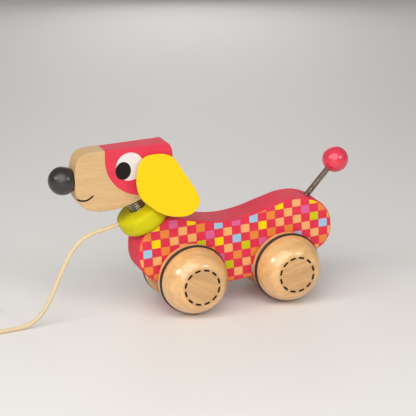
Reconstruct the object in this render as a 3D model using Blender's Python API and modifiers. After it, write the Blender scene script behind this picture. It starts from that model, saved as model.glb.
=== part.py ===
"""Pull-along toy: a wooden dog on four domed wheels.

The dog faces -X, its left side faces -Y and +Z is up. The origin is on the floor, midway
between the tip of the nose and the back of the tail. The head stands on a coil spring, the
tail is a thinner spring with a bead, the felt ears flap, and each pair of wheels turns with
its axle. Lengths are in metres; MM turns millimetres into metres.
"""
import math

import bmesh
import bpy
from mathutils import Matrix, Vector

MM = 0.001

# ---- driving dimensions -------------------------------------------------------------------
GAP = 0.3 * MM                      # clearance kept between neighbouring pieces

AXLE_HEIGHT = 25.4 * MM
FRONT_AXLE_X = -14.3 * MM
REAR_AXLE_X = 57.9 * MM
AXLE_RADIUS = 3.0 * MM
AXLE_REACH = 25.0 * MM              # half its length

BODY_THICKNESS = 24.5 * MM
HEAD_THICKNESS = 16.0 * MM
EDGE_ROUNDING = 1.0 * MM

WHEEL_INNER_FACE = 13.3 * MM        # |y| of the wheel's flat back
WHEEL_HUB_BOSS = 0.7 * MM           # the boss on that back, which keeps it off the body
WHEEL_HUB_BOSS_RADIUS = 7.0 * MM
WHEEL_FLANGE_RADIUS = 24.9 * MM
WHEEL_DOME_START = 21.4 * MM        # |y| where the dome begins
WHEEL_DOME_RADIUS = 24.4 * MM
WHEEL_FACE = 37.4 * MM              # |y| of the flat hub face
WHEEL_FACE_RADIUS = 13.9 * MM
WHEEL_DOME_POWER = 1.6
WHEEL_BORE_DEPTH = 12.4 * MM
RING_Y = 19.4 * MM                  # |y| of the rubber ring
RING_RADIUS = 23.9 * MM             # to the middle of its round section
RING_SECTION = 1.5 * MM

BEAD_CENTRE = Vector((-45.2, 0.0, 71.4)) * MM
BEAD_TILT = math.radians(30.0)      # the neck leans this far forward
BEAD_RADIUS = 18.5 * MM
BEAD_BELOW = 9.9 * MM               # its height under the widest circle
BEAD_ABOVE = 7.4 * MM
BEAD_POWER_BELOW = 2.9              # how full each half is: 2 is an ellipse
BEAD_POWER_ABOVE = 4.8
SPRING_POCKET_RADIUS = 6.8 * MM
BEAD_POCKET_FLOOR = 5.0 * MM
NECK_DOWEL_RADIUS = 3.0 * MM
NECK_DOWEL_BOTTOM = -25.0 * MM      # along the neck, from the bead's centre

NECK_SPRING_RADIUS = 5.6 * MM       # to the middle of the wire
NECK_WIRE = 0.5 * MM                # wire radius
NECK_SPRING_START = 5.3 * MM        # both ends along the neck, from the bead's centre
NECK_SPRING_END = 19.4 * MM
NECK_SPRING_TURNS = 8
NECK_PIVOT = 11.6 * MM
HEAD_POCKET_TOP = 19.8 * MM

NOSE_RADIUS = 10.0 * MM
NOSE_CENTRE = Vector((-102.8, 0.0, 102.4)) * MM
NOSE_DOWEL_RADIUS = 2.0 * MM
NOSE_DOWEL_ENDS = (-102.5 * MM, -86.5 * MM)

EAR_THICKNESS = 2.4 * MM
EAR_HINGE_HEIGHT = 117.6 * MM
EAR_FLARE = math.radians(15.0)

TAIL_ROOT = Vector((81.0, 0.0, 71.8)) * MM
TAIL_BEAD_CENTRE = Vector((103.3, 0.0, 96.4)) * MM
TAIL_BEAD_RADIUS = 9.5 * MM
TAIL_SPRING_RADIUS = 2.0 * MM
TAIL_WIRE = 0.5 * MM
TAIL_SPRING_TURNS = 25
TAIL_SOCKET_RADIUS = 2.8 * MM
TAIL_BODY_SOCKET = 8.0 * MM
TAIL_BEAD_SOCKET = 7.0 * MM

CORD_RADIUS = 1.5 * MM
CORD_HOLE_RADIUS = 1.9 * MM
CORD_HOLE_HEIGHT = 4.4 * MM         # above the bead's widest circle
CORD_SLOPE = math.radians(13.0)     # the cord leaves the bead this far below level
CORD_HOLE_DEPTH = 8.0 * MM
CORD_START_DEPTH = 6.0 * MM
CORD_STEP = 6.0 * MM                # spacing of the cord's points
COIL_CENTRE = Vector((-178.0, 8.0, 0.0)) * MM
COIL_RADIUS = 16.5 * MM             # to the middle of its turns
COIL_HALF_WIDTH = 3.0 * MM
COIL_HEIGHT = 6.1 * MM
HAND_BEAD_RADIUS = 6.5 * MM
HAND_BEAD_CENTRE = Vector((-164.0, 29.5, 6.6)) * MM
KNOT_RADIUS = 4.0 * MM

# Outlines are (x, z) in millimetres, clockwise seen from the dog's left side.
BODY_OUTLINE = [
    (-35.7, 69.5), (-26.0, 69.7), (-8.8, 66.3), (10.0, 63.4), (28.0, 64.9), (48.0, 70.4),
    (65.0, 74.2), (80.0, 72.2), (90.5, 65.0), (95.3, 52.0), (92.5, 39.5), (84.5, 33.0),
    (74.0, 26.2), (58.0, 20.8), (34.4, 18.4), (5.0, 16.5), (-15.0, 16.2), (-30.0, 20.0),
    (-41.0, 25.3), (-48.6, 31.8), (-52.0, 39.0), (-52.6, 46.5), (-51.6, 54.0), (-46.0, 62.6),
]
HEAD_OUTLINE = [
    (-86.0, 122.4), (-72.0, 122.9), (-52.0, 123.6), (-34.0, 124.2), (-29.3, 124.2),
    (-26.6, 121.4), (-25.2, 115.0), (-26.5, 104.0), (-33.0, 94.4), (-43.0, 87.9),
    (-54.1, 83.3), (-64.3, 80.4), (-72.0, 79.5), (-83.0, 80.4), (-91.0, 84.2), (-95.6, 93.0),
    (-96.2, 103.0), (-95.2, 113.5), (-91.8, 120.3),
]
# The ear's outline is (x, distance below its hinge line) in millimetres.
EAR_OUTLINE = [
    (-46.6, 2.0), (-38.8, 0.6), (-30.6, 1.6), (-25.6, 4.6), (-20.2, 13.6), (-14.5, 23.2),
    (-10.4, 31.5), (-9.5, 36.5), (-11.9, 41.1), (-16.7, 44.7), (-27.0, 45.4), (-36.9, 42.5),
    (-45.1, 36.7), (-52.0, 29.4), (-54.0, 20.8), (-53.1, 12.6), (-50.5, 6.0),
]
# The cord's way from the neck bead down to the floor and along it, in millimetres.
CORD_ROUTE = [
    (-82.0, 0.0, 61.6), (-91.5, -0.5, 57.0), (-100.0, -1.5, 47.5), (-107.0, -2.8, 35.0),
    (-114.0, -4.2, 21.0), (-122.5, -5.6, 8.6), (-133.0, -6.8, 2.3), (-144.0, -7.8, 1.6),
    (-155.0, -8.9, 1.6), (-167.2, -10.0, 1.6),
]

NECK_AXIS = Vector((-math.sin(BEAD_TILT), 0.0, math.cos(BEAD_TILT)))
NECK_BACK = Vector((math.cos(BEAD_TILT), 0.0, math.sin(BEAD_TILT)))
CORD_AXIS = Vector((-math.cos(CORD_SLOPE), 0.0, -math.sin(CORD_SLOPE)))
TAIL_AXIS = (TAIL_BEAD_CENTRE - TAIL_ROOT).normalized()


# ---- materials ----------------------------------------------------------------------------
def make_material(name, colour, roughness, metallic=0.0):
    material = bpy.data.materials.new(name)
    material.use_nodes = True
    shader = material.node_tree.nodes["Principled BSDF"]
    shader.inputs["Base Color"].default_value = (*colour, 1.0)
    shader.inputs["Roughness"].default_value = roughness
    shader.inputs["Metallic"].default_value = metallic
    return material


# ---- scene helpers ------------------------------------------------------------------------
def clear_scene():
    for obj in list(bpy.data.objects):
        bpy.data.objects.remove(obj, do_unlink=True)


def make_collection(name):
    collection = bpy.data.collections.new(name)
    bpy.context.scene.collection.children.link(collection)
    return collection


def add_object(name, data, collection, material=None):
    obj = bpy.data.objects.new(name, data)
    collection.objects.link(obj)
    if material:
        data.materials.append(material)
    return obj


def hide_cutter(obj):
    obj.hide_render = True
    obj.display_type = "WIRE"
    return obj


def make_pivot(name, location, collection):
    pivot = add_object(name, None, collection)
    pivot.location = location
    return pivot


def hang(obj, pivot):
    """Parent obj to its pivot without moving it."""
    bpy.context.view_layer.update()
    obj.parent = pivot
    obj.matrix_parent_inverse = pivot.matrix_world.inverted()


def turn_to(axis):
    """Rotation that takes local +Z to the given direction."""
    return Vector((0.0, 0.0, 1.0)).rotation_difference(axis).to_euler()


def smooth(obj, angle=math.radians(35.0)):
    obj.data.shade_smooth()
    obj.data.set_sharp_from_angle(angle=angle)


def cut(obj, *cutters):
    for cutter in cutters:
        boolean = obj.modifiers.new("Cut " + cutter.name, "BOOLEAN")
        boolean.operation = "DIFFERENCE"
        boolean.object = cutter


# ---- shapes -------------------------------------------------------------------------------
def turned(name, profile, collection, steps, location=(0, 0, 0), axis=Vector((0, 0, 1)),
           closed=False, material=None):
    """Turn a profile of (radius, height) points about the given axis."""
    mesh = bpy.data.meshes.new(name)
    count = len(profile)
    edges = [(i, i + 1) for i in range(count - 1)] + ([(count - 1, 0)] if closed else [])
    mesh.from_pydata([(r, 0.0, z) for r, z in profile], edges, [])
    obj = add_object(name, mesh, collection, material)
    obj.location = location
    obj.rotation_euler = turn_to(axis)
    screw = obj.modifiers.new("Turn", "SCREW")
    screw.steps = steps
    screw.render_steps = steps
    screw.use_merge_vertices = True
    screw.merge_threshold = 1e-6
    screw.use_smooth_shade = True
    return obj


def cylinder(name, radius, start, end, collection, sides=24, material=None):
    """A rod from start to end."""
    mesh = bpy.data.meshes.new(name)
    shape = bmesh.new()
    bmesh.ops.create_cone(shape, cap_ends=True, segments=sides, radius1=radius,
                          radius2=radius, depth=(end - start).length)
    shape.to_mesh(mesh)
    shape.free()
    obj = add_object(name, mesh, collection, material)
    obj.location = (start + end) / 2
    obj.rotation_euler = turn_to((end - start).normalized())
    smooth(obj)
    return obj


def full_curve(angle, radius, height, power):
    """A point of a quarter superellipse, (radius, height); angle runs from 0, its widest."""
    return (radius * math.cos(angle) ** (2 / power), height * math.sin(angle) ** (2 / power))


def ball_profile(radius, below, above, count, power_below=2.0, power_above=2.0):
    """Half outline of a rounded solid with unequal halves, top to bottom."""
    points = [(0.0, above)]
    for i in range(1, count):
        angle = math.pi / 2 * (1 - i / count)
        points.append(full_curve(angle, radius, above, power_above))
    points.append((radius, 0.0))
    for i in range(1, count):
        outer, low = full_curve(math.pi / 2 * i / count, radius, below, power_below)
        points.append((outer, -low))
    points.append((0.0, -below))
    return points


def drilled_ball_profile(radius, hole_radius, hole_depth, count):
    """Half outline of a ball with a blind hole drilled up its axis from below."""
    first = math.asin(hole_radius / radius)
    points = [(0.0, radius)]
    for i in range(1, count):
        angle = math.pi * i / count
        if angle < math.pi - first:
            points.append((radius * math.sin(angle), radius * math.cos(angle)))
    mouth = -radius * math.cos(first)
    points += [(hole_radius, mouth), (hole_radius, mouth + hole_depth), (0.0, mouth + hole_depth)]
    return points


def bored_ball_profile(radius, hole_radius, count):
    """Closed outline of a ball with a hole right through, top to bottom outside."""
    first = math.asin(hole_radius / radius)
    points = []
    for i in range(count + 1):
        angle = first + (math.pi - 2 * first) * i / count
        points.append((radius * math.sin(angle), radius * math.cos(angle)))
    return points


def to_mesh(curve_obj, collection):
    """Replace a curve object with its welded mesh."""
    bpy.context.view_layer.update()
    evaluated = curve_obj.evaluated_get(bpy.context.evaluated_depsgraph_get())
    mesh = bpy.data.meshes.new_from_object(evaluated)
    shape = bmesh.new()
    shape.from_mesh(mesh)
    bmesh.ops.remove_doubles(shape, verts=shape.verts, dist=1e-6)
    shape.to_mesh(mesh)
    shape.free()
    name, place = curve_obj.name, curve_obj.matrix_world.copy()
    curve_data = curve_obj.data
    bpy.data.objects.remove(curve_obj, do_unlink=True)
    bpy.data.curves.remove(curve_data)
    mesh.name = name
    obj = bpy.data.objects.new(name, mesh)
    collection.objects.link(obj)
    obj.matrix_world = place
    return obj


def board(name, outline, thickness, collection, material, resolution=3, rounding=EDGE_ROUNDING):
    """A flat board with a smooth closed outline in the XZ plane, thickness along Y."""
    curve = bpy.data.curves.new(name, "CURVE")
    curve.dimensions = "2D"
    curve.fill_mode = "BOTH"
    curve.extrude = thickness / 2
    curve.resolution_u = resolution
    curve.render_resolution_u = 0
    spline = curve.splines.new("BEZIER")
    spline.bezier_points.add(len(outline) - 1)
    for point, (x, z) in zip(spline.bezier_points, outline):
        point.co = (x * MM, z * MM, 0.0)
        point.handle_left_type = point.handle_right_type = "AUTO"
    spline.use_cyclic_u = True
    obj = add_object(name, curve, collection, material)
    obj.rotation_euler = (math.radians(90), 0.0, 0.0)
    obj = to_mesh(obj, collection)
    if rounding:
        bevel = obj.modifiers.new("Rounded edges", "BEVEL")
        bevel.width = rounding
        bevel.segments = 1
        bevel.limit_method = "ANGLE"
        bevel.angle_limit = math.radians(50)
    return obj


def tube(name, points, radius, collection, material, sides_setting=2):
    """A round wire or cord along points, with filled ends."""
    curve = bpy.data.curves.new(name, "CURVE")
    curve.dimensions = "3D"
    curve.bevel_depth = radius
    curve.bevel_resolution = sides_setting
    curve.use_fill_caps = True
    curve.render_resolution_u = 0
    spline = curve.splines.new("POLY")
    spline.points.add(len(points) - 1)
    for spline_point, place in zip(spline.points, points):
        spline_point.co = (*place, 1.0)
    return add_object(name, curve, collection, material)


def helix_points(base, axis, radius, length, turns, per_turn):
    """Points of a coil that climbs from base along axis."""
    turn = turn_to(axis).to_matrix()
    points = []
    for i in range(turns * per_turn + 1):
        angle = 2 * math.pi * i / per_turn
        climb = length * i / (turns * per_turn)
        points.append(base + turn @ Vector((radius * math.cos(angle), radius * math.sin(angle), climb)))
    return points


def smooth_route(route, step):
    """Evenly spaced points on a Catmull-Rom curve through the route's own points."""
    ends = [route[0] * 2 - route[1], *route, route[-1] * 2 - route[-2]]
    fine = []
    for before, start, end, after in zip(ends, ends[1:], ends[2:], ends[3:]):
        for i in range(24):
            t = i / 24
            fine.append(0.5 * (2 * start + (end - before) * t
                               + (2 * before - 5 * start + 4 * end - after) * t ** 2
                               + (3 * start - 3 * end + after - before) * t ** 3))
    fine.append(route[-1])
    total = sum((b - a).length for a, b in zip(fine, fine[1:]))
    spacing = total / round(total / step)
    points, walked, target = [fine[0]], 0.0, spacing
    for a, b in zip(fine, fine[1:]):
        length = (b - a).length
        while target <= walked + length + 1e-9 and len(points) * spacing < total - spacing / 2:
            points.append(a.lerp(b, (target - walked) / length))
            target += spacing
        walked += length
    points.append(fine[-1])
    return points


# ---- the wooden body and neck -------------------------------------------------------------
def along_neck(distance):
    return BEAD_CENTRE + NECK_AXIS * distance


def make_body(parts, cutters, paint):
    body = board("body", BODY_OUTLINE, BODY_THICKNESS, parts, paint)
    reach = Vector((0.0, BODY_THICKNESS, 0.0))
    for name, x in (("front", FRONT_AXLE_X), ("rear", REAR_AXLE_X)):
        middle = Vector((x, 0.0, AXLE_HEIGHT))
        cut(body, hide_cutter(cylinder("axle_bore_" + name, AXLE_RADIUS + GAP, middle - reach,
                                       middle + reach, cutters)))
    seat_profile = ball_profile(BEAD_RADIUS + GAP, BEAD_BELOW + GAP, BEAD_ABOVE + GAP, 8,
                                BEAD_POWER_BELOW, BEAD_POWER_ABOVE)
    seat = turned("bead_seat", seat_profile, cutters, 32, BEAD_CENTRE, NECK_AXIS)
    dowel_bore = cylinder("neck_dowel_bore", NECK_DOWEL_RADIUS + GAP,
                          along_neck(NECK_DOWEL_BOTTOM - GAP), BEAD_CENTRE, cutters, 16)
    tail_bore = cylinder("tail_bore", TAIL_SOCKET_RADIUS, TAIL_ROOT - TAIL_AXIS * TAIL_BODY_SOCKET,
                         TAIL_ROOT + TAIL_AXIS * TAIL_BODY_SOCKET, cutters, 16)
    cut(body, hide_cutter(seat), hide_cutter(dowel_bore), hide_cutter(tail_bore))
    return body


def cord_hole_mouth():
    """Where the cord comes out of the front of the neck bead."""
    share = 1 - (CORD_HOLE_HEIGHT / BEAD_ABOVE) ** BEAD_POWER_ABOVE
    radial = BEAD_RADIUS * share ** (1 / BEAD_POWER_ABOVE)
    return BEAD_CENTRE + NECK_AXIS * CORD_HOLE_HEIGHT - NECK_BACK * radial


def angle_at(radial, power):
    """The full_curve angle where the bead has this radius."""
    return math.acos((radial / BEAD_RADIUS) ** (power / 2))


def make_neck_bead(parts, cutters, paint):
    hole = NECK_DOWEL_RADIUS + GAP
    profile = [(hole, BEAD_POCKET_FLOOR), (SPRING_POCKET_RADIUS, BEAD_POCKET_FLOOR)]
    top = angle_at(SPRING_POCKET_RADIUS, BEAD_POWER_ABOVE)
    for i in range(7):
        profile.append(full_curve(top * (1 - i / 7), BEAD_RADIUS, BEAD_ABOVE, BEAD_POWER_ABOVE))
    profile.append((BEAD_RADIUS, 0.0))
    bottom = angle_at(hole, BEAD_POWER_BELOW)
    for i in range(1, 9):
        outer, low = full_curve(bottom * i / 8, BEAD_RADIUS, BEAD_BELOW, BEAD_POWER_BELOW)
        profile.append((outer, -low))
    bead = turned("neck_bead", profile, parts, 32, BEAD_CENTRE, NECK_AXIS, True, paint)
    mouth = cord_hole_mouth()
    cord_bore = cylinder("cord_bore", CORD_HOLE_RADIUS, mouth - CORD_AXIS * CORD_HOLE_DEPTH,
                         mouth + CORD_AXIS * CORD_HOLE_DEPTH, cutters, 12)
    cut(bead, hide_cutter(cord_bore))
    return bead


def make_neck_dowel(parts, wood):
    return cylinder("neck_dowel", NECK_DOWEL_RADIUS, along_neck(NECK_DOWEL_BOTTOM),
                    along_neck(BEAD_POCKET_FLOOR - GAP), parts, 16, wood)


def make_neck_spring(parts, steel):
    points = helix_points(along_neck(NECK_SPRING_START + NECK_WIRE), NECK_AXIS, NECK_SPRING_RADIUS,
                          NECK_SPRING_END - NECK_SPRING_START - 2 * NECK_WIRE,
                          NECK_SPRING_TURNS, 12)
    return tube("neck_spring", points, NECK_WIRE, parts, steel, 1)


# ---- head ---------------------------------------------------------------------------------
def make_head(parts, cutters, paint):
    head = board("head", HEAD_OUTLINE, HEAD_THICKNESS, parts, paint)
    pocket = cylinder("head_pocket", SPRING_POCKET_RADIUS, along_neck(BEAD_ABOVE),
                      along_neck(HEAD_POCKET_TOP), cutters, 24)
    seat = turned("nose_seat", ball_profile(NOSE_RADIUS + GAP, NOSE_RADIUS + GAP,
                                            NOSE_RADIUS + GAP, 6), cutters, 24, NOSE_CENTRE)
    bore = cylinder("nose_dowel_bore", NOSE_DOWEL_RADIUS + GAP, NOSE_CENTRE,
                    Vector((NOSE_DOWEL_ENDS[1] + GAP, 0.0, NOSE_CENTRE.z)), cutters, 12)
    cut(head, hide_cutter(pocket), hide_cutter(seat), hide_cutter(bore))
    return head


def make_nose(parts, paint, wood):
    profile = drilled_ball_profile(NOSE_RADIUS, NOSE_DOWEL_RADIUS + GAP, NOSE_RADIUS + GAP, 12)
    nose = turned("nose", profile, parts, 24, NOSE_CENTRE, Vector((-1, 0, 0)), False, paint)
    start, end = (Vector((x, 0.0, NOSE_CENTRE.z)) for x in NOSE_DOWEL_ENDS)
    dowel = cylinder("nose_dowel", NOSE_DOWEL_RADIUS, start, end, parts, 12, wood)
    return nose, dowel


def make_ear(name, side, parts, felt):
    """side is -1 for the left ear and 1 for the right one."""
    outline = [(x, -down) for x, down in EAR_OUTLINE]
    ear = board(name, outline, EAR_THICKNESS, parts, felt, 2, 0.0)
    hinge = Vector((0.0, side * (HEAD_THICKNESS / 2 + GAP), EAR_HINGE_HEIGHT))
    out = Matrix.Translation((0.0, side * EAR_THICKNESS / 2, 0.0))
    ear.matrix_world = (Matrix.Translation(hinge) @ Matrix.Rotation(side * EAR_FLARE, 4, "X")
                        @ out @ ear.matrix_world)
    return ear


# ---- tail ---------------------------------------------------------------------------------
def make_tail(parts, steel, paint):
    bead = turned("tail_bead",
                  drilled_ball_profile(TAIL_BEAD_RADIUS, TAIL_SOCKET_RADIUS, TAIL_BEAD_SOCKET, 12),
                  parts, 24, TAIL_BEAD_CENTRE, TAIL_AXIS, False, paint)
    mouth = (TAIL_BEAD_CENTRE - TAIL_ROOT).length - TAIL_BEAD_RADIUS
    start = TAIL_WIRE + GAP - TAIL_BODY_SOCKET
    end = mouth + TAIL_BEAD_SOCKET - TAIL_WIRE - GAP
    points = helix_points(TAIL_ROOT + TAIL_AXIS * start, TAIL_AXIS, TAIL_SPRING_RADIUS,
                          end - start, TAIL_SPRING_TURNS, 8)
    spring = tube("tail_spring", points, TAIL_WIRE, parts, steel, 0)
    return spring, bead


# ---- wheels -------------------------------------------------------------------------------
def wheel_profile():
    """Half outline of a wheel, (radius, distance from the body's middle plane)."""
    profile = [(0.0, WHEEL_FACE), (WHEEL_FACE_RADIUS, WHEEL_FACE)]
    dome = WHEEL_FACE - WHEEL_DOME_START
    for t in (0.94, 0.82, 0.66, 0.48, 0.3, 0.14, 0.0):
        bulge = (1 - t ** WHEEL_DOME_POWER) ** (1 / WHEEL_DOME_POWER)
        profile.append((WHEEL_FACE_RADIUS + (WHEEL_DOME_RADIUS - WHEEL_FACE_RADIUS) * bulge,
                        WHEEL_DOME_START + dome * t))
    groove = RING_SECTION + GAP
    for degrees in (50, 0, -50):
        angle = math.radians(degrees)
        profile.append((RING_RADIUS - groove * math.cos(angle), RING_Y + groove * math.sin(angle)))
    bore = AXLE_RADIUS + GAP
    boss = WHEEL_INNER_FACE - WHEEL_HUB_BOSS
    rounding = 1.2 * MM
    profile += [
        (WHEEL_FLANGE_RADIUS, RING_Y - groove), (WHEEL_FLANGE_RADIUS, WHEEL_INNER_FACE + rounding),
        (WHEEL_FLANGE_RADIUS - rounding, WHEEL_INNER_FACE),
        (WHEEL_HUB_BOSS_RADIUS, WHEEL_INNER_FACE), (WHEEL_HUB_BOSS_RADIUS, boss), (bore, boss),
        (bore, boss + WHEEL_BORE_DEPTH), (0.0, boss + WHEEL_BORE_DEPTH),
    ]
    return profile


def ring_profile():
    """Closed round section of a rubber ring, outer side first, top to bottom."""
    count = 8
    return [(RING_RADIUS + RING_SECTION * math.cos(a), RING_Y + RING_SECTION * math.sin(a))
            for a in (math.pi / 2 - 2 * math.pi * i / count for i in range(count))]


def make_wheel_set(name, x, parts, wood, varnished, rubber):
    """One axle with its two wheels and their rings, all on one pivot."""
    pivot = make_pivot(name + "_axle_pivot", (x, 0.0, AXLE_HEIGHT), parts)
    middle = Vector((x, 0.0, AXLE_HEIGHT))
    reach = Vector((0.0, AXLE_REACH - GAP, 0.0))
    pieces = [cylinder("axle_" + name, AXLE_RADIUS, middle - reach, middle + reach, parts, 24, wood)]
    for side, y in (("left", -1.0), ("right", 1.0)):
        outward = Vector((0.0, y, 0.0))
        pieces.append(turned("wheel_%s_%s" % (name, side), wheel_profile(), parts, 32,
                             middle, outward, False, varnished))
        pieces.append(turned("ring_%s_%s" % (name, side), ring_profile(), parts, 32,
                             middle, outward, True, rubber))
    for piece in pieces:
        hang(piece, pivot)


# ---- pull cord ----------------------------------------------------------------------------
def make_cord(parts, cotton, wood):
    mouth = cord_hole_mouth()
    route = [mouth - CORD_AXIS * CORD_START_DEPTH, mouth + CORD_AXIS * CORD_RADIUS * 4]
    route += [Vector(point) * MM for point in CORD_ROUTE]
    tube("pull_cord", smooth_route(route, CORD_STEP), CORD_RADIUS, parts, cotton)
    low, high = 0.1 * MM, COIL_HEIGHT
    inner, outer = COIL_RADIUS - COIL_HALF_WIDTH, COIL_RADIUS + COIL_HALF_WIDTH
    step_in = 1.0 * MM
    profile = [(inner + step_in, high), (outer - step_in, high), (outer, high - step_in),
               (outer, low + step_in), (outer - step_in, low), (inner + step_in, low),
               (inner, low + step_in), (inner, high - step_in)]
    turned("cord_coil", profile, parts, 36, COIL_CENTRE, Vector((0, 0, 1)), True, cotton)
    turned("cord_bead", bored_ball_profile(HAND_BEAD_RADIUS, CORD_HOLE_RADIUS, 9), parts, 18,
           HAND_BEAD_CENTRE, Vector((1, 0, 0)), True, wood)
    knot_place = HAND_BEAD_CENTRE + Vector((HAND_BEAD_RADIUS + KNOT_RADIUS, 0.0, 0.0))
    turned("cord_knot", ball_profile(KNOT_RADIUS, KNOT_RADIUS, KNOT_RADIUS, 5), parts, 14,
           knot_place, Vector((1, 0, 0)), False, cotton)
    start = Vector((COIL_CENTRE.x, COIL_CENTRE.y + outer + CORD_RADIUS + GAP, 3.0 * MM))
    end = knot_place - Vector((KNOT_RADIUS + GAP, 0.0, 0.0))
    end_route = [start, start + Vector((4.0 * MM, 0.0, 0.6 * MM)),
                 end - Vector((2.0 * HAND_BEAD_RADIUS + 1.0 * MM, 0.0, 0.2 * MM)), end]
    tube("cord_end", smooth_route(end_route, CORD_STEP / 2), CORD_RADIUS, parts, cotton)


def main():
    clear_scene()
    parts = make_collection("pull_along_toy")
    cutters = make_collection("cutters")

    red = make_material("red_paint", (0.80, 0.045, 0.09), 0.4)
    lime = make_material("lime_paint", (0.55, 0.60, 0.01), 0.35)
    head_wood = make_material("head_wood", (0.75, 0.50, 0.25), 0.45)
    black = make_material("black_paint", (0.015, 0.013, 0.012), 0.25)
    felt = make_material("yellow_felt", (1.0, 0.70, 0.01), 0.95)
    tail_red = make_material("tail_red_paint", (0.82, 0.03, 0.06), 0.3)
    beech = make_material("varnished_beech", (0.80, 0.50, 0.22), 0.25)
    plain_wood = make_material("plain_wood", (0.72, 0.52, 0.32), 0.6)
    rubber = make_material("black_rubber", (0.02, 0.02, 0.02), 0.55)
    steel = make_material("dark_steel", (0.18, 0.17, 0.16), 0.3, 1.0)
    cotton = make_material("cotton_cord", (0.75, 0.62, 0.40), 0.9)

    make_body(parts, cutters, red)
    make_neck_bead(parts, cutters, lime)
    make_neck_dowel(parts, plain_wood)

    neck_pivot = make_pivot("neck_pivot", along_neck(NECK_PIVOT), parts)
    hang(make_neck_spring(parts, steel), neck_pivot)
    hang(make_head(parts, cutters, head_wood), neck_pivot)
    for piece in make_nose(parts, black, plain_wood):
        hang(piece, neck_pivot)
    for side_name, side in (("left", -1), ("right", 1)):
        hinge = make_pivot("ear_%s_hinge" % side_name,
                           (0.0, side * (HEAD_THICKNESS / 2 + GAP), EAR_HINGE_HEIGHT), parts)
        hang(make_ear("ear_" + side_name, side, parts, felt), hinge)
        hang(hinge, neck_pivot)

    tail_middle = ((TAIL_BEAD_CENTRE - TAIL_ROOT).length - TAIL_BEAD_RADIUS) / 2
    tail_pivot = make_pivot("tail_pivot", TAIL_ROOT + TAIL_AXIS * tail_middle, parts)
    for piece in make_tail(parts, steel, tail_red):
        hang(piece, tail_pivot)

    make_wheel_set("front", FRONT_AXLE_X, parts, plain_wood, beech, rubber)
    make_wheel_set("rear", REAR_AXLE_X, parts, plain_wood, beech, rubber)
    make_cord(parts, cotton, beech)


main()
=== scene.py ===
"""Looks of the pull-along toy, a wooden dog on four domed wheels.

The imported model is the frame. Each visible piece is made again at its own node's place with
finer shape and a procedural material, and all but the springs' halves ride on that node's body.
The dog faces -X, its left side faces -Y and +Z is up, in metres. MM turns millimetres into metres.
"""
import math

import bmesh
import bpy
import numpy as np
from mathutils import Matrix, Vector


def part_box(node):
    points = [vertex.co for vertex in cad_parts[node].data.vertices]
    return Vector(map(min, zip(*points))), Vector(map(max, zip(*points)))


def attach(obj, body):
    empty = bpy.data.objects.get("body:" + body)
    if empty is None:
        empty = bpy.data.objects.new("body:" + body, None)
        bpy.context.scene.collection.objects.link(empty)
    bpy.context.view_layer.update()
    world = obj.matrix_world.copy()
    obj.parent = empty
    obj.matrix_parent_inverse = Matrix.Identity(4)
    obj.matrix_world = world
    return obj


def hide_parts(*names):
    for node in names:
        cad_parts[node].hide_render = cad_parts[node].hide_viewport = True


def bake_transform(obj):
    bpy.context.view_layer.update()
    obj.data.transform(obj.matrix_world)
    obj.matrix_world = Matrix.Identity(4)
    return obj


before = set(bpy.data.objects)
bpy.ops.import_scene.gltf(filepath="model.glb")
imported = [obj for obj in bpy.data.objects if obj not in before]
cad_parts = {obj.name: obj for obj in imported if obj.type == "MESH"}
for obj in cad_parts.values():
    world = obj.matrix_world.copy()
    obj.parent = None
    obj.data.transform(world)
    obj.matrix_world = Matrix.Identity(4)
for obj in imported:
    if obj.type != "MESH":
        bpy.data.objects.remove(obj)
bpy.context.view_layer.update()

MM = 0.001

# ---- driving dimensions ----
# The part's source has the same values, but for the springs' coils and TAIL_SOCKET_RADIUS.
# What only the visible pieces need, such as the dashes and the knot's form, is not in it.
GAP = 0.3 * MM

BODY_OUTLINE = [
    (-35.7, 69.5), (-26.0, 69.7), (-8.8, 66.3), (10.0, 63.4), (28.0, 64.9), (48.0, 70.4),
    (65.0, 74.2), (80.0, 72.2), (90.5, 65.0), (95.3, 52.0), (92.5, 39.5), (84.5, 33.0),
    (74.0, 26.2), (58.0, 20.8), (34.4, 18.4), (5.0, 16.5), (-15.0, 16.2), (-30.0, 20.0),
    (-41.0, 25.3), (-48.6, 31.8), (-52.0, 39.0), (-52.6, 46.5), (-51.6, 54.0), (-46.0, 62.6),
]
HEAD_OUTLINE = [
    (-86.0, 122.4), (-72.0, 122.9), (-52.0, 123.6), (-34.0, 124.2), (-29.3, 124.2),
    (-26.6, 121.4), (-25.2, 115.0), (-26.5, 104.0), (-33.0, 94.4), (-43.0, 87.9),
    (-54.1, 83.3), (-64.3, 80.4), (-72.0, 79.5), (-83.0, 80.4), (-91.0, 84.2), (-95.6, 93.0),
    (-96.2, 103.0), (-95.2, 113.5), (-91.8, 120.3),
]
EAR_OUTLINE = [
    (-46.6, 2.0), (-38.8, 0.6), (-30.6, 1.6), (-25.6, 4.6), (-20.2, 13.6), (-14.5, 23.2),
    (-10.4, 31.5), (-9.5, 36.5), (-11.9, 41.1), (-16.7, 44.7), (-27.0, 45.4), (-36.9, 42.5),
    (-45.1, 36.7), (-52.0, 29.4), (-54.0, 20.8), (-53.1, 12.6), (-50.5, 6.0),
]
EAR_THICKNESS = 2.4 * MM
EAR_HINGE_HEIGHT = 117.6 * MM
EAR_HINGE_SIDE = 8.3 * MM           # |y| of the ear's back, a gap off the head's flat side
EAR_FLARE = math.radians(15.0)

BEAD_CENTRE = Vector((-45.2, 0.0, 71.4)) * MM
BEAD_TILT = math.radians(30.0)
BEAD_RADIUS = 18.5 * MM
BEAD_BELOW = 9.9 * MM
BEAD_ABOVE = 7.4 * MM
BEAD_POWER_BELOW = 2.9              # how full each half is: 2 is an ellipse
BEAD_POWER_ABOVE = 4.8
SPRING_POCKET_RADIUS = 6.8 * MM
BEAD_POCKET_FLOOR = 5.0 * MM
DOWEL_HOLE_RADIUS = 3.3 * MM

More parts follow.
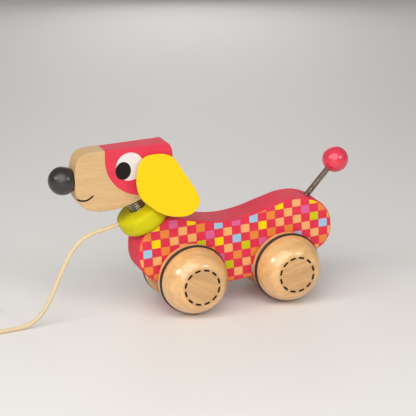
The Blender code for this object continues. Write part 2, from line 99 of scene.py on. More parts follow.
NECK_SPRING_RADIUS = 5.1 * MM       # half a millimetre inside the plain CAD coil
NECK_WIRE = 0.5 * MM
NECK_SPRING_START = 5.3 * MM
NECK_SPRING_END = 19.4 * MM
NECK_SPRING_TURNS = 8
NECK_PIVOT = 11.6 * MM
HEAD_POCKET_TOP = 19.8 * MM

NOSE_RADIUS = 10.0 * MM
NOSE_CENTRE = Vector((-102.8, 0.0, 102.4)) * MM
NOSE_BORE_RADIUS = 2.3 * MM
NOSE_BORE_END = 16.6 * MM           # how far behind the nose's centre the head's bore ends

TAIL_ROOT = Vector((81.0, 0.0, 71.8)) * MM
TAIL_BEAD_CENTRE = Vector((103.3, 0.0, 96.4)) * MM
TAIL_BEAD_RADIUS = 9.5 * MM
TAIL_SPRING_RADIUS = 1.9 * MM       # finer and closer wound than the plain CAD coil,
TAIL_WIRE = 0.34 * MM               # with sockets narrowed to suit
TAIL_SPRING_TURNS = 50
TAIL_SOCKET_RADIUS = 2.6 * MM
TAIL_BODY_SOCKET = 8.0 * MM
TAIL_BEAD_SOCKET = 7.0 * MM

AXLE_BORE_RADIUS = 3.3 * MM
WHEEL_INNER_FACE = 13.3 * MM        # |y| of the wheel's flat back
WHEEL_HUB_BOSS = 0.7 * MM           # the boss on that back
WHEEL_HUB_BOSS_RADIUS = 7.0 * MM
WHEEL_BORE_DEPTH = 12.4 * MM
WHEEL_FLANGE_RADIUS = 24.9 * MM
WHEEL_FLANGE_ROUNDING = 1.1 * MM
WHEEL_FACE_RADIUS = 13.9 * MM
WHEEL_DOME_START = 21.4 * MM
WHEEL_DOME_RADIUS = 24.4 * MM
WHEEL_DOME_POWER = 1.6
WHEEL_FACE_EDGE = ((0.5, 0.0), (0.2, 0.06), (0.0, 0.22))     # steps in and down, in mm
RING_Y = 19.4 * MM                  # |y| of the rubber ring
RING_RADIUS = 23.9 * MM
RING_SECTION = 1.5 * MM
DASH_CIRCLE = 12.7 * MM
DASH_COUNT = 12
DASH_PHASE = -0.03                  # where the first dash lies, in dashes
DASH_STRAIGHT = 2.9 * MM            # its length without the round ends
DASH_WIDTH = 1.5 * MM
DASH_BACK = 30.0 * MM               # |y| below which a wheel has no print

CORD_RADIUS = 1.5 * MM
CORD_HOLE_RADIUS = 1.9 * MM
CORD_HOLE_HEIGHT = 4.4 * MM
CORD_HOLE_DEPTH = 8.0 * MM
CORD_START_DEPTH = 6.0 * MM
CORD_SLOPE = math.radians(13.0)
CORD_ROUTE = [
    (-82.0, 0.0, 61.6), (-91.5, -0.5, 57.0), (-100.0, -1.5, 47.5), (-107.0, -2.8, 35.0),
    (-114.0, -4.2, 21.0), (-122.5, -5.6, 8.6), (-133.0, -6.8, 2.3), (-144.0, -7.8, 1.6),
    (-155.0, -8.9, 1.6), (-167.2, -10.0, 1.6),
]
COIL_CENTRE = Vector((-178.0, 8.0, 0.0)) * MM
COIL_RADII = (18.0, 15.0, 15.0, 18.0)           # each turn's radius, in millimetres
COIL_HEIGHTS = (1.6, 1.6, 4.6, 4.6)             # and its height
COIL_TURNS = 3.5
COIL_SHIFT = 0.3                    # the last share of a turn, where it moves to the next one
HAND_BEAD_RADIUS = 6.5 * MM
HAND_BEAD_CENTRE = Vector((-164.0, 29.5, 6.6)) * MM
HAND_BEAD_APPROACH = ((10.0, 1.2, 0.9), (5.0, 0.1, 0.1))     # before its centre, in mm
KNOT_RADIUS = 4.0 * MM
KNOT_SHIFT = Vector((1.0, 0.0, 0.0)) * MM                    # nearer the bead when pulled
KNOT_SQUEEZE = 0.93                 # the pulled knot's cord, as a share of its full radius
KNOT_FREE_END = ((2.0, 2.0, -1.0), (5.0, 3.2, -1.6))         # from its middle, in mm
BRAID_PITCH = 5.5 * MM
BRAID_STRANDS = 4.0

# ---- printed decoration ----
CHECK_ORIGIN = (-26.8, 65.7)        # middle of check (0, 0), in millimetres
CHECK_PITCH = (6.74, 6.3)
CHECK_TILT = math.radians(3.23)     # the rows climb towards the tail
CHECK_STRAIGHT = 0.40               # half a check's straight edge, as a share of the pitch
CHECK_CORNER = 0.095                # the radius of its corners, likewise
CHECK_COLUMN_LINES = range(-5, 19)  # the lines between checks, counted from check (0, 0)
CHECK_ROW_LINES = range(-10, 3)
# One row of coloured checks per line, downwards, every second check starting at -4 or -3.
CHECK_ROWS = (
    "oypyhohoyhy", "oohobpbohpo", "oyhhphhyhhl", "bohlybooohb", "hhohohlphbh", "ohohpooohoo",
    "hoyholhohoh", "ohopohbphoh", "hohoyoohoho",
)
PAINTS = {
    "o": (0.77, 0.24, 0.045), "h": (0.87, 0.42, 0.15), "y": (0.90, 0.64, 0.0),
    "l": (0.56, 0.55, 0.006), "p": (0.68, 0.12, 0.31), "b": (0.32, 0.53, 0.72),
}
RED = (0.76, 0.035, 0.075)
LIME = (0.62, 0.56, 0.003)
YELLOW = (1.0, 0.61, 0.008)
BLACK = (0.014, 0.011, 0.010)
WHITE = (0.74, 0.69, 0.68)
# The head's print is given in its side view, as (x, z) in millimetres.
PATCH_CORNER = (-47.0, 116.0)       # the cap's rounded corner: its centre and radius
PATCH_RADIUS = 27.6
EYE_CENTRE = (-56.6, 109.9)
EYE_RADIUS = 10.0
PUPIL_CENTRE = (-61.5, 107.3)
PUPIL_SIZE = (5.6, 6.4)
MOUTH_CENTRE = (-90.0, 97.0)
MOUTH_RADIUS = 8.2
MOUTH_LINE = 1.3
MOUTH_TOP = 92.0                    # the line is printed below this height
FLAT_SIDE = 7.4                     # |y| beyond which the eye and mouth are printed
GRAIN_TURN = {"front": math.radians(-28.0), "rear": math.radians(17.0)}
FACE_TONE = (0.76, 0.78, 0.92)      # the hub face's darker, less orange tone against the dome's varnish
# Painted shade: a dark brown ring along the crease where the hub face meets the dome.
CREASE_SHADE_COLOUR = (0.30, 0.15, 0.05)

# Woods are (pale, dark) and steels (dark, pale).
WHEEL_WOOD = ((0.84, 0.50, 0.20), (0.66, 0.365, 0.135))
HEAD_WOOD = ((0.65, 0.435, 0.215), (0.585, 0.375, 0.172))
HAND_BEAD_WOOD = ((0.86, 0.60, 0.32), (0.70, 0.42, 0.19))
BARE_WOOD = ((0.78, 0.60, 0.38), (0.62, 0.43, 0.24))
# Near-black wood for the neck dowel: painted shade, seen through the gaps between the neck spring's
# coils.
GAP_SHADE_WOOD = ((0.05, 0.04, 0.03), (0.03, 0.022, 0.018))
NECK_STEEL = ((0.34, 0.29, 0.24), (0.72, 0.66, 0.57))
TAIL_STEEL = ((0.17, 0.13, 0.10), (0.50, 0.43, 0.35))

# ---- view and lights, in metres and watts ----
CAMERA_PLACE = (-0.3863, -1.0234, 0.4284)
CAMERA_AIM = (0.0040, 0.0, 0.0704)
CAMERA_LENS = 139.72                # in millimetres, on a sensor this wide
CAMERA_SENSOR = 36.0
LIGHT_AIM = (0.0, 0.0, 0.06)
LIGHTS = (                          # name, place, width, power, colour
    ("key", (-0.48, -0.79, 0.82), 1.5, 14.3, (1.0, 0.98, 0.95)),
    ("fill", (0.53, -0.85, 0.60), 0.30, 2.4, (1.0, 0.98, 0.97)),
    ("side window", (-0.95, -0.20, 0.62), 0.30, 2.1, (1.0, 1.0, 1.0)),
    ("back", (0.35, 1.0, 0.35), 0.6, 1.0, (1.0, 1.0, 1.0)),
)
WORLD_COLOUR = (1.0, 0.985, 0.97, 1.0)
WORLD_STRENGTH = 0.27
FLOOR_SIZE = 4.0
FLOOR_DROP = 0.0002                 # the floor lies just under the toy

NECK_AXIS = Vector((-math.sin(BEAD_TILT), 0.0, math.cos(BEAD_TILT)))
NECK_BACK = Vector((math.cos(BEAD_TILT), 0.0, math.sin(BEAD_TILT)))
TAIL_AXIS = (TAIL_BEAD_CENTRE - TAIL_ROOT).normalized()
CORD_AXIS = Vector((-math.cos(CORD_SLOPE), 0.0, -math.sin(CORD_SLOPE)))


# ---- camera, light and floor ----
def add_light(name, location, size, power, colour):
    data = bpy.data.lights.new(name, "AREA")
    data.shape = "DISK"
    data.size = size
    data.energy = power
    data.color = colour
    light = bpy.data.objects.new(name, data)
    light.location = location
    aim = Vector(LIGHT_AIM) - Vector(location)
    light.rotation_euler = aim.to_track_quat("-Z", "Y").to_euler()
    bpy.context.scene.collection.objects.link(light)


def make_stage():
    scene = bpy.context.scene
    data = bpy.data.cameras.new("camera")
    data.lens = CAMERA_LENS
    data.sensor_width = CAMERA_SENSOR
    camera = bpy.data.objects.new("camera", data)
    camera.location = CAMERA_PLACE
    aim = Vector(CAMERA_AIM) - camera.location
    camera.rotation_euler = aim.to_track_quat("-Z", "Y").to_euler()
    scene.collection.objects.link(camera)
    scene.camera = camera
    scene.view_settings.view_transform = "Standard"

    for light in LIGHTS:
        add_light(*light)
    world = bpy.data.worlds.new("studio")
    world.use_nodes = True
    background = world.node_tree.nodes["Background"]
    background.inputs["Color"].default_value = WORLD_COLOUR
    background.inputs["Strength"].default_value = WORLD_STRENGTH
    scene.world = world


def make_floor():
    floor = new_object("floor", plane_mesh(FLOOR_SIZE))
    floor.location.z = -FLOOR_DROP
    tree = Nodes("floor", roughness=0.55)
    speck = tree.noise(tree.object_coordinates(), 900.0, 2.0)
    tree.colour(tree.ramp(speck, (0.3, (0.80, 0.785, 0.77)), (0.7, (0.83, 0.815, 0.80))))
    floor.data.materials.append(tree.material)


# ---- node helper ----
class Nodes:
    """A Principled material with short calls for the nodes that drive it."""

    def __init__(self, name, roughness=0.5, **sockets):
        self.material = bpy.data.materials.new(name)
        self.material.use_nodes = True
        self.tree = self.material.node_tree
        self.shader = self.tree.nodes["Principled BSDF"]
        self.shader.inputs["Roughness"].default_value = roughness
        for socket, value in sockets.items():
            self.shader.inputs[socket.replace("_", " ")].default_value = value

    def node(self, kind, inputs=(), **settings):
        made = self.tree.nodes.new(kind)
        for setting, value in settings.items():
            setattr(made, setting, value)
        for socket, value in dict(inputs).items():
            target = made.inputs[socket]
            if isinstance(value, bpy.types.NodeSocket):
                self.tree.links.new(value, target)
            else:
                target.default_value = value
        return made

    def object_coordinates(self):
        return self.node("ShaderNodeTexCoord").outputs["Object"]

    def attribute(self, name, output="Color"):
        return self.node("ShaderNodeAttribute", attribute_name=name).outputs[output]

    def math(self, operation, first, second=0.0, clamp=False):
        made = self.node("ShaderNodeMath", {0: first, 1: second}, operation=operation)
        made.use_clamp = clamp
        return made.outputs[0]

    def vector(self, operation, first, second=(0.0, 0.0, 0.0), output="Vector"):
        made = self.node("ShaderNodeVectorMath", {0: first, 1: second}, operation=operation)
        return made.outputs[output]

    def split(self, vector):
        return self.node("ShaderNodeSeparateXYZ", {0: vector}).outputs

    def join(self, x, y, z=0.0):
        return self.node("ShaderNodeCombineXYZ", {0: x, 1: y, 2: z}).outputs[0]

    def noise(self, vector, scale, detail=3.0, roughness=0.5, distortion=0.0):
        made = self.node("ShaderNodeTexNoise", {
            "Vector": vector, "Scale": scale, "Detail": detail, "Roughness": roughness,
            "Distortion": distortion})
        return made.outputs["Fac"]

    def ramp(self, factor, *stops):
        made = self.node("ShaderNodeValToRGB", {"Fac": factor})
        elements = made.color_ramp.elements
        while len(elements) < len(stops):
            elements.new(0.5)
        for element, (position, colour) in zip(elements, stops):
            element.position = position
            element.color = (*colour, 1.0) if hasattr(colour, "__len__") else (colour,) * 3 + (1.0,)
        return made.outputs["Color"]

    def step(self, value, edge, width):
        """1 where value is below edge, 0 above it, over the given width."""
        made = self.node("ShaderNodeMapRange", {
            "Value": value, "From Min": edge - width / 2, "From Max": edge + width / 2,
            "To Min": 1.0, "To Max": 0.0}, interpolation_type="SMOOTHSTEP")
        return made.outputs["Result"]

    def mix(self, factor, first, second, blend="MIX"):
        made = self.node("ShaderNodeMix", data_type="RGBA", blend_type=blend)
        for socket, value in ((made.inputs["Factor"], factor), (made.inputs[6], first),
                              (made.inputs[7], second)):
            if isinstance(value, bpy.types.NodeSocket):
                self.tree.links.new(value, socket)
            else:
                socket.default_value = (*value, 1.0) if hasattr(value, "__len__") else value
        return made.outputs[2]

    def colour(self, socket):
        self.tree.links.new(socket, self.shader.inputs["Base Color"])

    def rough(self, socket):
        self.tree.links.new(socket, self.shader.inputs["Roughness"])

    def bump(self, height, distance, strength=1.0):
        made = self.node("ShaderNodeBump", {
            "Height": height, "Distance": distance, "Strength": strength})
        self.tree.links.new(made.outputs["Normal"], self.shader.inputs["Normal"])


# ---- mesh helpers ----
def new_object(name, data):
    obj = bpy.data.objects.new(name, data)
    bpy.context.scene.collection.objects.link(obj)
    return obj


def plane_mesh(size):
    mesh = bpy.data.meshes.new("plane")
    half = size / 2
    mesh.from_pydata([(-half, -half, 0), (half, -half, 0), (half, half, 0), (-half, half, 0)],
                     [], [(0, 1, 2, 3)])
    return mesh


def dress(obj, material):
    """Give the whole piece one material."""
    obj.data.materials.clear()
    obj.data.materials.append(material)


def finish_piece(obj, body, slot, *nodes):
    """The piece rides on a body and stands for its nodes, which it hides. Its slot is not used."""
    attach(obj, body)
    if nodes:
        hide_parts(*nodes)


def evaluated_mesh(obj):
    """A new mesh of the object as its modifiers or its curve settings make it."""
    bpy.context.view_layer.update()
    evaluated = obj.evaluated_get(bpy.context.evaluated_depsgraph_get())
    return bpy.data.meshes.new_from_object(evaluated)


def apply_modifiers(obj):
    mesh = evaluated_mesh(obj)
    old = obj.data
    obj.modifiers.clear()
    obj.data = mesh
    mesh.name = obj.name
    bpy.data.meshes.remove(old)


def cut_out(obj, *cutters):
    """Subtract the cutters from obj for good."""
    for cutter in cutters:
        boolean = obj.modifiers.new("cut", "BOOLEAN")
        boolean.operation = "DIFFERENCE"
        boolean.object = cutter
    apply_modifiers(obj)
    for cutter in cutters:
        bpy.data.objects.remove(cutter, do_unlink=True)


def shade(obj, degrees=32.0, weighted=True):
    obj.data.shade_smooth()
    obj.data.set_sharp_from_angle(angle=math.radians(degrees))
    if weighted:
        modifier = obj.modifiers.new("flat faces stay flat", "WEIGHTED_NORMAL")
        modifier.keep_sharp = True


def on_circle(radius, angle, height):
    return Vector((radius * math.cos(angle), radius * math.sin(angle), height))


def turned(name, profile, location, axis, steps=96, closed=False, sharp=32.0):
    """Turn a profile of (radius, height) points about an axis, as one closed mesh."""
    shape = bmesh.new()
    rings = []
    for radius, height in profile:
        if radius < 1e-7:
            rings.append([shape.verts.new((0.0, 0.0, height))])
            continue
        ring = [on_circle(radius, 2 * math.pi * i / steps, height) for i in range(steps)]
        rings.append([shape.verts.new(place) for place in ring])
    pairs = list(zip(rings, rings[1:] + rings[:1])) if closed else list(zip(rings, rings[1:]))
    for upper, lower in pairs:
        for i in range(steps):
            j = (i + 1) % steps
            corners = [upper[i % len(upper)], lower[i % len(lower)],
                       lower[j % len(lower)], upper[j % len(upper)]]
            corners = list(dict.fromkeys(corners))
            if len(corners) > 2:
                shape.faces.new(corners)
    mesh = bpy.data.meshes.new(name)
    shape.normal_update()
    bmesh.ops.recalc_face_normals(shape, faces=shape.faces)
    shape.to_mesh(mesh)
    shape.free()
    obj = new_object(name, mesh)
    turn = Vector((0.0, 0.0, 1.0)).rotation_difference(axis).to_matrix().to_4x4()
    mesh.transform(Matrix.Translation(location) @ turn)
    shade(obj, sharp, False)
    return obj


def board(name, outline, thickness, resolution=10, rounding=0.9 * MM, place=None):
    """A flat board from a smooth closed outline in the XZ plane, its edges rounded."""
    curve = bpy.data.curves.new(name, "CURVE")
    curve.dimensions = "2D"
    curve.fill_mode = "BOTH"
    curve.extrude = thickness / 2
    curve.resolution_u = resolution
    spline = curve.splines.new("BEZIER")
    spline.bezier_points.add(len(outline) - 1)
    for point, (x, z) in zip(spline.bezier_points, outline):
        point.co = (x * MM, z * MM, 0.0)
        point.handle_left_type = point.handle_right_type = "AUTO"
    spline.use_cyclic_u = True
    obj = new_object(name, curve)
    mesh = evaluated_mesh(obj)
    bpy.data.objects.remove(obj, do_unlink=True)
    bpy.data.curves.remove(curve)
    shape = bmesh.new()
    shape.from_mesh(mesh)
    bmesh.ops.remove_doubles(shape, verts=shape.verts, dist=1e-6)
    bmesh.ops.dissolve_limit(shape, angle_limit=math.radians(0.5), verts=shape.verts[:],
                             edges=[e for e in shape.edges if abs(e.verts[0].co.z) > 1e-9])
    shape.to_mesh(mesh)
    shape.free()
    mesh.transform(Matrix.Rotation(math.radians(90), 4, "X"))
    if place:
        mesh.transform(place)
    obj = new_object(name, mesh)
    bevel = obj.modifiers.new("rounded edges", "BEVEL")
    bevel.width = rounding
    bevel.segments = 4
    bevel.limit_method = "ANGLE"
    bevel.angle_limit = math.radians(50)
    apply_modifiers(obj)
    return obj


def frames_along(points):
    """A side and an up direction at each point, without twisting."""
    tangents = []
    for i in range(len(points)):
        before, after = points[max(i - 1, 0)], points[min(i + 1, len(points) - 1)]
        tangents.append((after - before).normalized())
    side = tangents[0].orthogonal().normalized()
    frames = []
    for tangent in tangents:
        side = (side - tangent * side.dot(tangent)).normalized()
        frames.append((side, tangent.cross(side)))
    return frames


def tube(name, points, radius, sides):
    """A round tube along points. It carries how far along and around each point is."""
    shape = bmesh.new()
    walked = 0.0
    rings, along, around = [], [], []
    for i, (place, (side, up)) in enumerate(zip(points, frames_along(points))):
        walked += (place - points[i - 1]).length if i else 0.0
        ring = []
        for k in range(sides):
            angle = 2 * math.pi * k / sides
            ring.append(shape.verts.new(place + side * (radius * math.cos(angle))
                                        + up * (radius * math.sin(angle))))
            along.append(walked)
            around.append((math.cos(angle), math.sin(angle)))
        rings.append(ring)
    for first, second in zip(rings, rings[1:]):
        for k in range(sides):
            n = (k + 1) % sides
            shape.faces.new((first[k], first[n], second[n], second[k]))
    shape.faces.new(list(reversed(rings[0])))
    shape.faces.new(rings[-1])
    mesh = bpy.data.meshes.new(name)
    shape.to_mesh(mesh)
    shape.free()
    path = mesh.attributes.new("path", "FLOAT_VECTOR", "POINT")
    values = [(s, c, n) for s, (c, n) in zip(along, around)]
    path.data.foreach_set("vector", np.array(values, np.float32).ravel())
    obj = new_object(name, mesh)
    shade(obj, 50.0, False)
    return obj


def smooth_route(route, step):
    """Evenly spaced points on a Catmull-Rom curve through the route's own points."""
    ends = [route[0] * 2 - route[1], *route, route[-1] * 2 - route[-2]]
    fine = []
    for before, start, end, after in zip(ends, ends[1:], ends[2:], ends[3:]):
        for i in range(24):
            t = i / 24
            fine.append(0.5 * (2 * start + (end - before) * t
                               + (2 * before - 5 * start + 4 * end - after) * t ** 2
                               + (3 * start - 3 * end + after - before) * t ** 3))
    fine.append(route[-1])
    total = sum((b - a).length for a, b in zip(fine, fine[1:]))
    spacing = total / round(total / step)
    points, walked, target = [fine[0]], 0.0, spacing
    for a, b in zip(fine, fine[1:]):
        length = (b - a).length
        while target <= walked + length + 1e-9 and len(points) * spacing < total - spacing / 2:
            points.append(a.lerp(b, (target - walked) / length))
            target += spacing
        walked += length
    points.append(fine[-1])
    return points


# ---- materials ----
def dimmed(colour, share):
    return tuple(c * share for c in colour)


def grain(tree, place, direction, fine=1.0):
    """Wood figure along X, Y or Z: (broad growth bands, fine flecks), both about 0 to 1."""
    stretch = {"X": (0.10, 1.0, 1.0), "Y": (1.0, 0.10, 1.0), "Z": (1.0, 1.0, 0.10)}[direction]
    long_place = tree.vector("MULTIPLY", place, stretch)
    bands = tree.noise(long_place, 260.0 * fine, 3.0, 0.55, 0.6)
    flecks = tree.noise(long_place, 1500.0 * fine, 4.0, 0.62)
    return bands, flecks


def wood_material(name, pale, dark, roughness, coat, direction="X", fine=1.0, turn=0.0):
    tree = Nodes(name, roughness, Coat_Weight=coat, Coat_Roughness=0.07)
    rotated = tree.node("ShaderNodeVectorRotate",
                        {"Vector": tree.object_coordinates(), "Angle": turn},
                        rotation_type="Y_AXIS")
    place = rotated.outputs[0]
    bands, flecks = grain(tree, place, direction, fine)
    base = tree.ramp(bands, (0.30, dark), (0.72, pale))
    pores = tree.ramp(flecks, (0.36, 0.80), (0.50, 1.0))
    tree.colour(tree.mix(0.55, base, pores, "MULTIPLY"))
    tree.rough(tree.ramp(flecks, (0.3, roughness * 1.25), (0.7, roughness * 0.85)))
    tree.bump(flecks, 0.00006, 0.5)
    return tree


def dull_where(tree, mask):
    """Take the coat and most of the gloss off where the mask is 1, as on matt printed black."""
    keep = tree.math("SUBTRACT", 1.0, mask, clamp=True)
    for socket, low in (("Coat Weight", 0.0), ("Specular IOR Level", 0.12)):
        target = tree.shader.inputs[socket]
        full = target.default_value
        scaled = tree.math("ADD", tree.math("MULTIPLY", keep, full - low), low)
        tree.tree.links.new(scaled, target)


def dash_mask(tree, x, z, radius):
    """1 on the round-ended dashes of the printed circle, from a point's place about the hub."""
    place = tree.object_coordinates()
    wobble = tree.math("MULTIPLY", tree.noise(place, 1400.0, 2.0), 0.22 * MM)
    dashes = tree.math("MULTIPLY", tree.math("ARCTAN2", z, x), DASH_COUNT / (2 * math.pi))
    part = tree.math("SUBTRACT", tree.math("FRACT", tree.math("ADD", dashes, DASH_PHASE)), 0.5)
    pitch = 2 * math.pi * DASH_CIRCLE / DASH_COUNT
    beyond = tree.math("SUBTRACT", tree.math("MULTIPLY", tree.math("ABSOLUTE", part), pitch),
                       DASH_STRAIGHT / 2)
    beyond = tree.math("MAXIMUM", beyond, 0.0)
    across = tree.math("SUBTRACT", radius, DASH_CIRCLE)
    distance = tree.vector("LENGTH", tree.join(beyond, across, 0.0), output="Value")
    mask = tree.step(tree.math("ADD", distance, wobble), DASH_WIDTH / 2 + 0.11 * MM, 0.16 * MM)
    behind = tree.step(tree.math("ABSOLUTE", tree.split(place)[1]), DASH_BACK, 1.0 * MM)
    return tree.math("SUBTRACT", mask, behind, clamp=True)


def wheel_material(name, hub, turn):
    """Varnished beech with a dashed circle printed on the hub face; hub is the axle's middle."""
    tree = wood_material(name, *WHEEL_WOOD, 0.40, 1.0, "X", 1.0, turn)
    tree.shader.inputs["Coat IOR"].default_value = 1.6
    tree.shader.inputs["Coat Roughness"].default_value = 0.13
    x, _, z = tree.split(tree.vector("SUBTRACT", tree.object_coordinates(), hub))
    radius = tree.vector("LENGTH", tree.join(x, 0.0, z), output="Value")
    mask = dash_mask(tree, x, z, radius)
    base = tree.shader.inputs["Base Color"].links[0].from_socket
    face = tree.step(radius, WHEEL_FACE_RADIUS, 0.4 * MM)
    # The hub face is drawn in a darker, less orange tone than the dome.
    darker_face = tree.mix(1.0, base, FACE_TONE, "MULTIPLY")
    base = tree.mix(tree.math("MULTIPLY", face, 0.85), base, darker_face)
    # A thin ring of painted shade darkens the crease between the hub face and the dome.
    edge = tree.math("ABSOLUTE", tree.math("SUBTRACT", radius, WHEEL_FACE_RADIUS + 0.15 * MM))
    crease_shade = tree.math("MULTIPLY", tree.step(edge, 0.2 * MM, 0.3 * MM), 0.3)
    base = tree.mix(crease_shade, base, CREASE_SHADE_COLOUR)
    tree.colour(tree.mix(mask, base, BLACK))
    dull_where(tree, tree.math("MAXIMUM", mask, tree.math("MULTIPLY", face, 0.8)))
    return tree.material


def paint_material(name, colour, roughness=0.35, coat=0.25, specular=0.5, gloss=0.12):
    """Paint on turned or sawn wood: slightly uneven, with a hint of the grain below."""
    tree = Nodes(name, roughness, Coat_Weight=coat, Coat_Roughness=gloss,
                 Specular_IOR_Level=specular)
    place = tree.object_coordinates()
    bands, flecks = grain(tree, place, "X")
    tree.colour(tree.mix(0.35, tree.ramp(bands, (0.3, dimmed(colour, 0.86)), (0.7, colour)),
                         tree.ramp(flecks, (0.35, dimmed(colour, 0.8)), (0.6, colour))))
    tree.rough(tree.ramp(flecks, (0.3, roughness * 1.2), (0.7, roughness * 0.85)))
    tree.bump(flecks, 0.00005, 0.4)
    return tree


def body_material():
    """Red paint with printed checks: their colour is in the mesh, their rounded form here."""
    tree = paint_material("red_checked_paint", RED, 0.5, 0.0, 0.2)
    x, _, z = tree.split(tree.object_coordinates())
    across = tree.math("SUBTRACT", x, CHECK_ORIGIN[0] * MM)
    up = tree.math("SUBTRACT", z, CHECK_ORIGIN[1] * MM)
    cosine, sine = math.cos(CHECK_TILT), math.sin(CHECK_TILT)
    column = tree.math("ADD", tree.math("MULTIPLY", across, cosine),
                       tree.math("MULTIPLY", up, sine))
    row = tree.math("SUBTRACT", tree.math("MULTIPLY", across, sine),
                    tree.math("MULTIPLY", up, cosine))
    edge = []
    for value, pitch in ((column, CHECK_PITCH[0]), (row, CHECK_PITCH[1])):
        cell = tree.math("ADD", tree.math("DIVIDE", value, pitch * MM), 0.5)
        offset = tree.math("ABSOLUTE", tree.math("SUBTRACT", tree.math("FRACT", cell), 0.5))
        edge.append(tree.math("MAXIMUM", tree.math("SUBTRACT", offset, CHECK_STRAIGHT), 0.0))
    corner = tree.vector("LENGTH", tree.join(*edge), output="Value")
    wobble = tree.math("MULTIPLY", tree.noise(tree.object_coordinates(), 1600.0, 2.0), 0.03)
    mask = tree.step(tree.math("ADD", corner, wobble), CHECK_CORNER, 0.02)
    mask = tree.math("MULTIPLY", mask, tree.attribute("print", "Alpha"))
    ink = tree.attribute("print")
    mottle = tree.noise(tree.object_coordinates(), 2200.0, 3.0)
    ink = tree.mix(0.25, ink, tree.mix(mottle, (0.75, 0.75, 0.75), (1.0, 1.0, 1.0)), "MULTIPLY")
    base = tree.shader.inputs["Base Color"].links[0].from_socket
    tree.colour(tree.mix(mask, base, ink))
    return tree.material


def head_material():
    """Pale wood with the printed cap, eye and mouth, all given in the head's side view."""
    tree = wood_material("head_wood", *HEAD_WOOD, 0.5, 0.0, "X", 1.3)
    tree.shader.inputs["Specular IOR Level"].default_value = 0.4
    place = tree.object_coordinates()
    x, y, z = tree.split(place)
    flat = tree.join(x, z)
    wobble = tree.math("MULTIPLY", tree.noise(place, 1300.0, 2.0), 0.2 * MM)

    def around(centre):
        return tree.vector("SUBTRACT", flat, (centre[0] * MM, centre[1] * MM, 0.0))

    def disc(vector, radius):
        length = tree.math("ADD", tree.vector("LENGTH", vector, output="Value"), wobble)
        return tree.step(length, radius * MM + 0.1 * MM, 0.15 * MM)

    towards = tree.vector("MULTIPLY", around(PATCH_CORNER), (-1.0, -1.0, 0.0))
    cap = disc(tree.vector("MAXIMUM", towards, (0.0, 0.0, 0.0)), PATCH_RADIUS)
    eye = disc(around(EYE_CENTRE), EYE_RADIUS)
    squeeze = (1.0, PUPIL_SIZE[0] / PUPIL_SIZE[1], 0.0)
    pupil = disc(tree.vector("MULTIPLY", around(PUPIL_CENTRE), squeeze), PUPIL_SIZE[0])
    mouth_distance = tree.vector("LENGTH", around(MOUTH_CENTRE), output="Value")
    off_line = tree.math("ABSOLUTE", tree.math("SUBTRACT", mouth_distance, MOUTH_RADIUS * MM))
    mouth = tree.step(off_line, MOUTH_LINE / 2 * MM, 0.15 * MM)
    mouth = tree.math("MULTIPLY", mouth, tree.step(z, MOUTH_TOP * MM, 0.2 * MM))
    between = tree.step(tree.math("ABSOLUTE", y), FLAT_SIDE * MM, 0.3 * MM)
    sides = tree.math("SUBTRACT", 1.0, between)
    bands = grain(tree, place, "X")[0]
    red = tree.ramp(bands, (0.3, dimmed(RED, 0.82)), (0.7, dimmed(RED, 0.94)))
    result = tree.shader.inputs["Base Color"].links[0].from_socket
    result = tree.mix(cap, result, red)
    for ink, mask in ((WHITE, eye), (BLACK, pupil), (BLACK, mouth)):
        result = tree.mix(tree.math("MULTIPLY", mask, sides), result, ink)
    tree.colour(result)
    dull_where(tree, tree.math("MULTIPLY", tree.math("MAXIMUM", pupil, mouth), sides))
    return tree.material


def felt_material():
    tree = Nodes("yellow_felt", 0.95, Sheen_Weight=0.35, Sheen_Roughness=0.45,
                 Sheen_Tint=(1.0, 0.86, 0.35, 1.0), Specular_IOR_Level=0.15)
    place = tree.object_coordinates()
    hairs = tree.noise(place, 1700.0, 6.0, 0.7, 1.4)
    clumps = tree.noise(place, 320.0, 3.0, 0.5, 0.5)
    matted = tree.ramp(hairs, (0.28, dimmed(YELLOW, 0.84)), (0.60, YELLOW))
    worn = tree.ramp(clumps, (0.3, (0.97, 0.96, 0.95)), (0.7, (1.0, 1.0, 1.0)))
    tree.colour(tree.mix(0.8, matted, worn, "MULTIPLY"))
    tree.bump(tree.math("ADD", hairs, tree.math("MULTIPLY", clumps, 0.6)), 0.00035, 0.7)
    return tree.material


def steel_material(name, dark, pale):
    tree = Nodes(name, 0.22, Metallic=1.0)
    place = tree.object_coordinates()
    stain = tree.noise(place, 700.0, 4.0)
    tree.colour(tree.ramp(stain, (0.32, dark), (0.72, pale)))
    tree.rough(tree.ramp(stain, (0.3, 0.32), (0.7, 0.18)))
    tree.bump(tree.noise(place, 5000.0, 2.0), 0.00002, 0.4)
    return tree.material


def rubber_material():
    tree = Nodes("black_rubber", 0.5, Specular_IOR_Level=0.4)
    dust = tree.noise(tree.object_coordinates(), 900.0, 4.0)
    tree.colour(tree.ramp(dust, (0.35, (0.012, 0.011, 0.011)), (0.8, (0.035, 0.032, 0.03))))
    tree.rough(tree.ramp(dust, (0.3, 0.42), (0.75, 0.62)))
    tree.bump(tree.noise(tree.object_coordinates(), 6000.0, 2.0), 0.00002, 0.5)
    return tree.material


